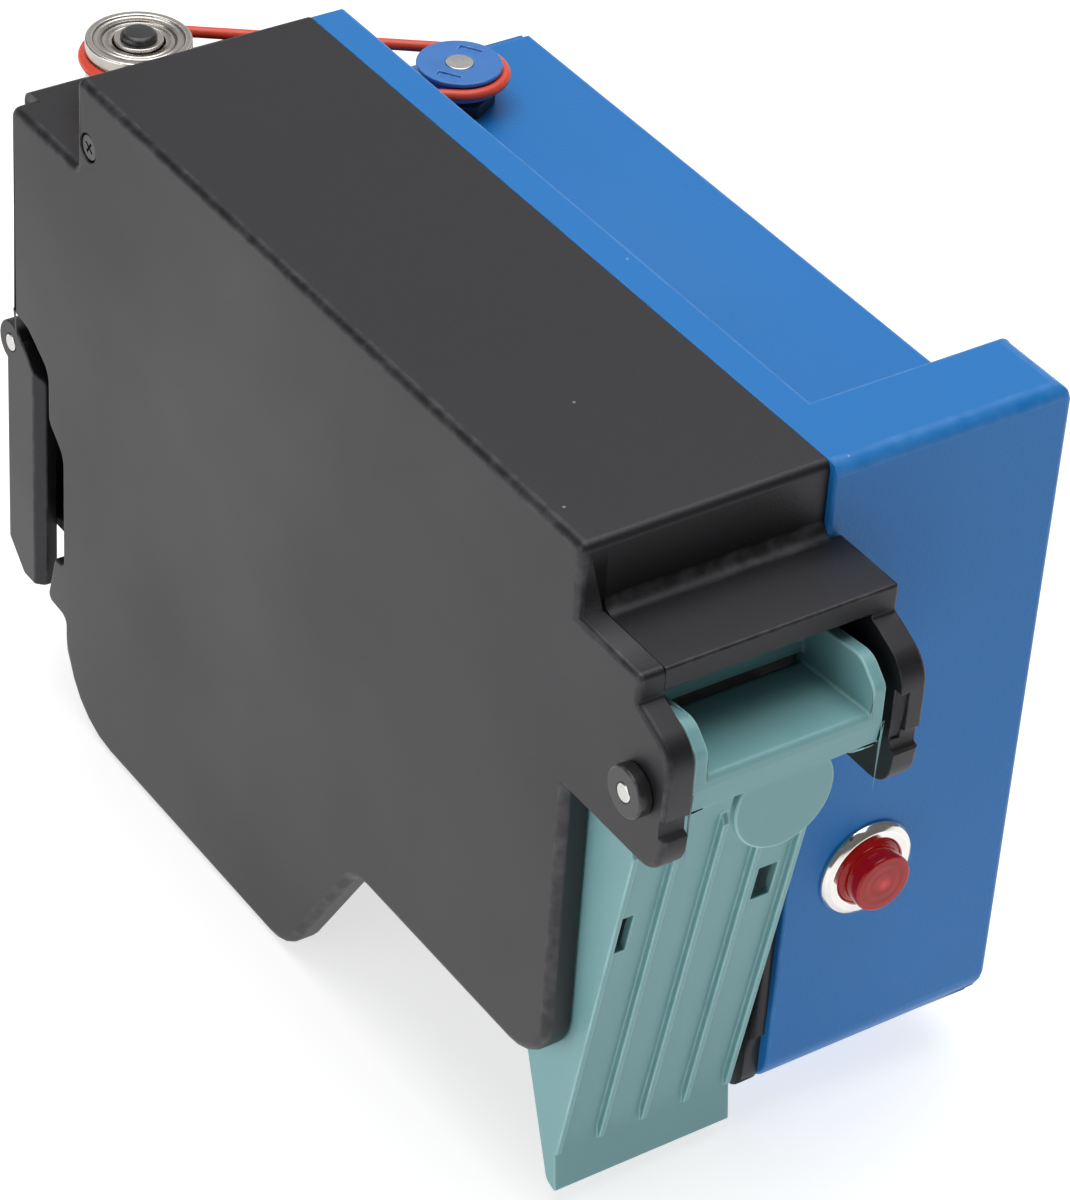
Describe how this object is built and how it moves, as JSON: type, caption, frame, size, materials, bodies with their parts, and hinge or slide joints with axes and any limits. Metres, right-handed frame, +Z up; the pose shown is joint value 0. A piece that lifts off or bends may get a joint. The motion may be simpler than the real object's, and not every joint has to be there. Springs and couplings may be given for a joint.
{
  "type": "pay station ticket intake module",
  "caption": "Ticket intake module with side cover, painted carrier, hinged throat, ribbed return chute, lit push button, rear belt drive and latch lever",
  "frame": {"origin": "centre of the four mounting holes, on the outer face of the blue carrier's right side", "axes": "+X towards the customer (front), +Y out of the mounting face, +Z up"},
  "size_m": [0.2532, 0.1149, 0.168],
  "materials": {
    "black_shell": "satin injection-moulded black plastic, fine spark texture",
    "blue_paint": "blue enamel with a fine orange-peel surface",
    "teal_plastic": "waxy teal moulded plastic, slightly translucent",
    "steel": "plain bright steel",
    "chrome": "bright nickel and chrome",
    "red_lens": "clear red polycarbonate",
    "belt_red": "red polyurethane round belt",
    "blue_plastic": "blue moulded plastic",
    "black_plastic": "black moulded plastic",
    "brass": "turned brass",
    "rubber_grey": "dark rubber tyre",
    "gear_white": "natural acetal",
    "board_green": "green solder mask",
    "led_plastic": "diffused LED resin",
    "connector_white": "white nylon connector",
    "guide_sheet": "blackened sheet steel",
    "motor_can": "zinc-plated motor can"
  },
  "bodies": {
    "module": {"side_cover": "black_shell", "main_housing": "black_shell", "cover_screw": "steel", "latch_pin": "steel", "blue_carrier": "blue_paint", "rear_plate": "blue_paint", "rear_plate_screws": "steel", "hinge_pin": "steel", "pin_collars": "black_plastic", "throat_spring": "steel", "return_chute": "teal_plastic", "button_bezel": "chrome", "button_barrel": "black_plastic", "button_nut": "steel", "button_switch": "connector_white", "button_led": "led_plastic", "button_spring": "steel", "idler_stud": "steel", "idler_nut": "steel", "idler_spacer": "brass", "idler_inner_ring": "chrome", "idler_cap": "black_plastic", "round_belt": "belt_red", "drive_gearbox": "motor_can", "gearbox_nut": "black_plastic", "drive_motor": "motor_can", "frame_plate_left": "steel", "frame_plate_right": "steel", "frame_spacers": "brass", "feed_bushes": "brass", "pinch_shafts": "steel", "sync_belt": "rubber_grey", "feed_motor": "motor_can", "guide_lower": "guide_sheet", "guide_upper": "guide_sheet", "read_head": "black_plastic", "control_board": "board_green", "board_chips": "black_plastic", "board_standoffs": "brass", "io_connector": "connector_white"},
    "latch": {"latch_lever": "black_shell"},
    "throat": {"intake_throat": "teal_plastic"},
    "button": {"button_lens": "red_lens"},
    "idler": {"idler_wheel": "chrome", "idler_shields": "chrome"},
    "bearing_cage": {"idler_balls": "chrome", "idler_cage": "brass"},
    "drive": {"drive_pulley": "blue_plastic", "drive_shaft": "steel"},
    "feed_front": {"feed_shaft_front": "steel", "feed_rollers_front": "rubber_grey", "feed_gear": "gear_white", "sync_pulley_front": "steel"},
    "feed_rear": {"feed_shaft_rear": "steel", "feed_rollers_rear": "rubber_grey", "sync_pulley_rear": "steel"},
    "pinch_front": {"pinch_rollers_front": "rubber_grey"},
    "pinch_rear": {"pinch_rollers_rear": "rubber_grey"},
    "pinion": {"feed_pinion": "brass"}
  },
  "joints": [
    {"name": "latch_swing", "type": "hinge", "parent": "module", "child": "latch", "pos_m": [-0.1245, -0.1088, 0.004], "axis": [0, 1, 0], "range_deg": [0, 65]},
    {"name": "throat_tilt", "type": "hinge", "parent": "module", "child": "throat", "pos_m": [0.1145, -0.0838, 0.0479], "axis": [0, 1, 0], "range_deg": [0, 20], "stiffness_Nm_per_rad": 0.02, "springref_deg": -11.46},
    {"name": "button_press", "type": "slide", "parent": "module", "child": "button", "axis": [-1, 0, 0], "range_m": [0, 0.0025], "stiffness_N_per_m": 400, "springref_m": -0.001},
    {"name": "drive_spin", "type": "hinge", "parent": "module", "child": "drive", "pos_m": [-0.0749, -0.03, 0.076], "axis": [0, 0, 1], "continuous": true},
    {"name": "idler_spin", "type": "hinge", "parent": "module", "child": "idler", "pos_m": [-0.1122, -0.0866, 0.076], "axis": [0, 0, 1], "continuous": true},
    {"name": "cage_spin", "type": "hinge", "parent": "module", "child": "bearing_cage", "pos_m": [-0.1122, -0.0866, 0.076], "axis": [0, 0, 1], "continuous": true},
    {"name": "feed_front_spin", "type": "hinge", "parent": "module", "child": "feed_front", "pos_m": [0.0525, -0.0818, 0.04265], "axis": [0, 1, 0], "continuous": true},
    {"name": "feed_rear_spin", "type": "hinge", "parent": "module", "child": "feed_rear", "pos_m": [-0.0325, -0.0818, 0.04265], "axis": [0, 1, 0], "continuous": true},
    {"name": "pinion_spin", "type": "hinge", "parent": "module", "child": "pinion", "pos_m": [0.0525, -0.1018, 0.02185], "axis": [0, 1, 0], "continuous": true},
    {"name": "pinch_front_spin", "type": "hinge", "parent": "module", "child": "pinch_front", "pos_m": [0.0525, -0.0818, 0.05745], "axis": [0, 1, 0], "continuous": true},
    {"name": "pinch_rear_spin", "type": "hinge", "parent": "module", "child": "pinch_rear", "pos_m": [-0.0325, -0.0818, 0.05745], "axis": [0, 1, 0], "continuous": true}
  ],
  "couplings": [
    {"joint": "idler_spin", "follows": "drive_spin", "ratio": 0.84483},
    {"joint": "cage_spin", "follows": "drive_spin", "ratio": 0.54735},
    {"joint": "feed_rear_spin", "follows": "feed_front_spin", "ratio": 1},
    {"joint": "pinion_spin", "follows": "feed_front_spin", "ratio": -2.25},
    {"joint": "pinch_front_spin", "follows": "feed_front_spin", "ratio": -1.4167},
    {"joint": "pinch_rear_spin", "follows": "feed_front_spin", "ratio": -1.4167}
  ]
}
